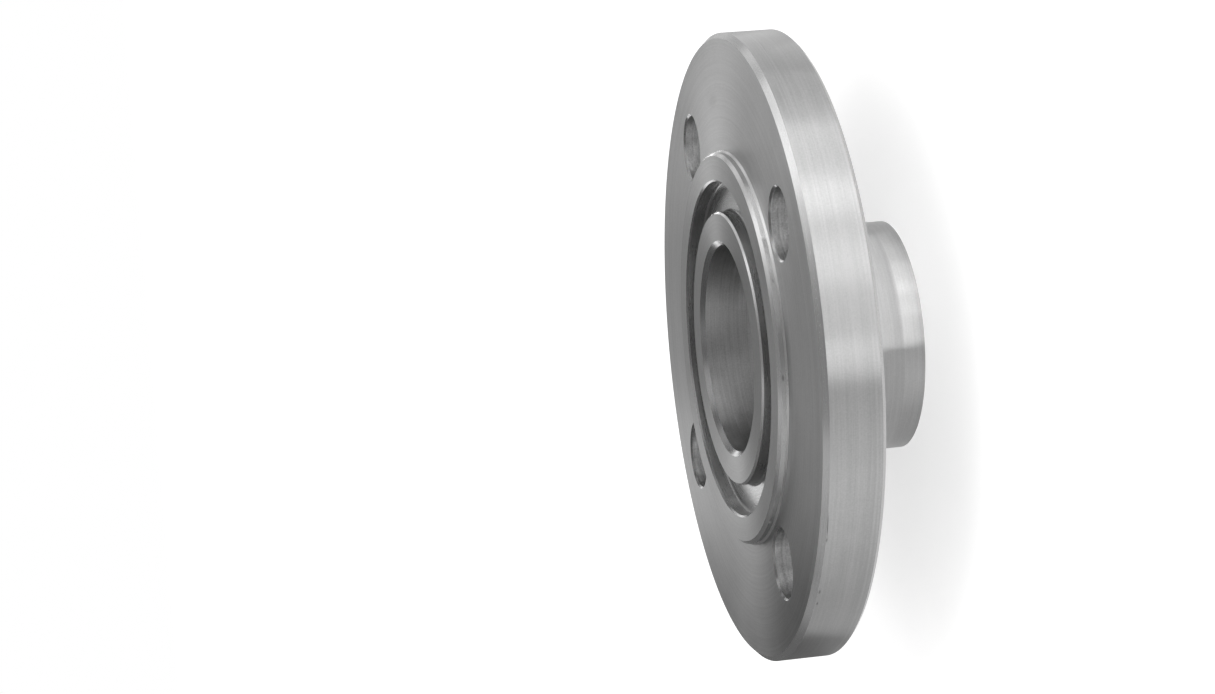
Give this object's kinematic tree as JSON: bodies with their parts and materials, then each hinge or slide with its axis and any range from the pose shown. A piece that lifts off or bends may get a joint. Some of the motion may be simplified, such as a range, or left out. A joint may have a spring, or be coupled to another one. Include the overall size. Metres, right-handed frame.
{
  "type": "grooved weld neck pipe flange",
  "caption": "Round turned-steel weld neck pipe flange: a plate with bolt holes, a raised face with a ring groove round the bore, and a tapered neck.",
  "frame": {"origin": "centre of the bore in the plane of the weld end's face, which the flange stands on", "axes": "+Z along the bore, up towards the grooved jointing face; +X midway between two bolt holes"},
  "size_m": [0.165, 0.165, 0.045],
  "materials": {
    "turned_steel": "satin, turned all over"
  },
  "bodies": {
    "root": {"groove_flange": "turned_steel"}
  },
  "joints": []
}
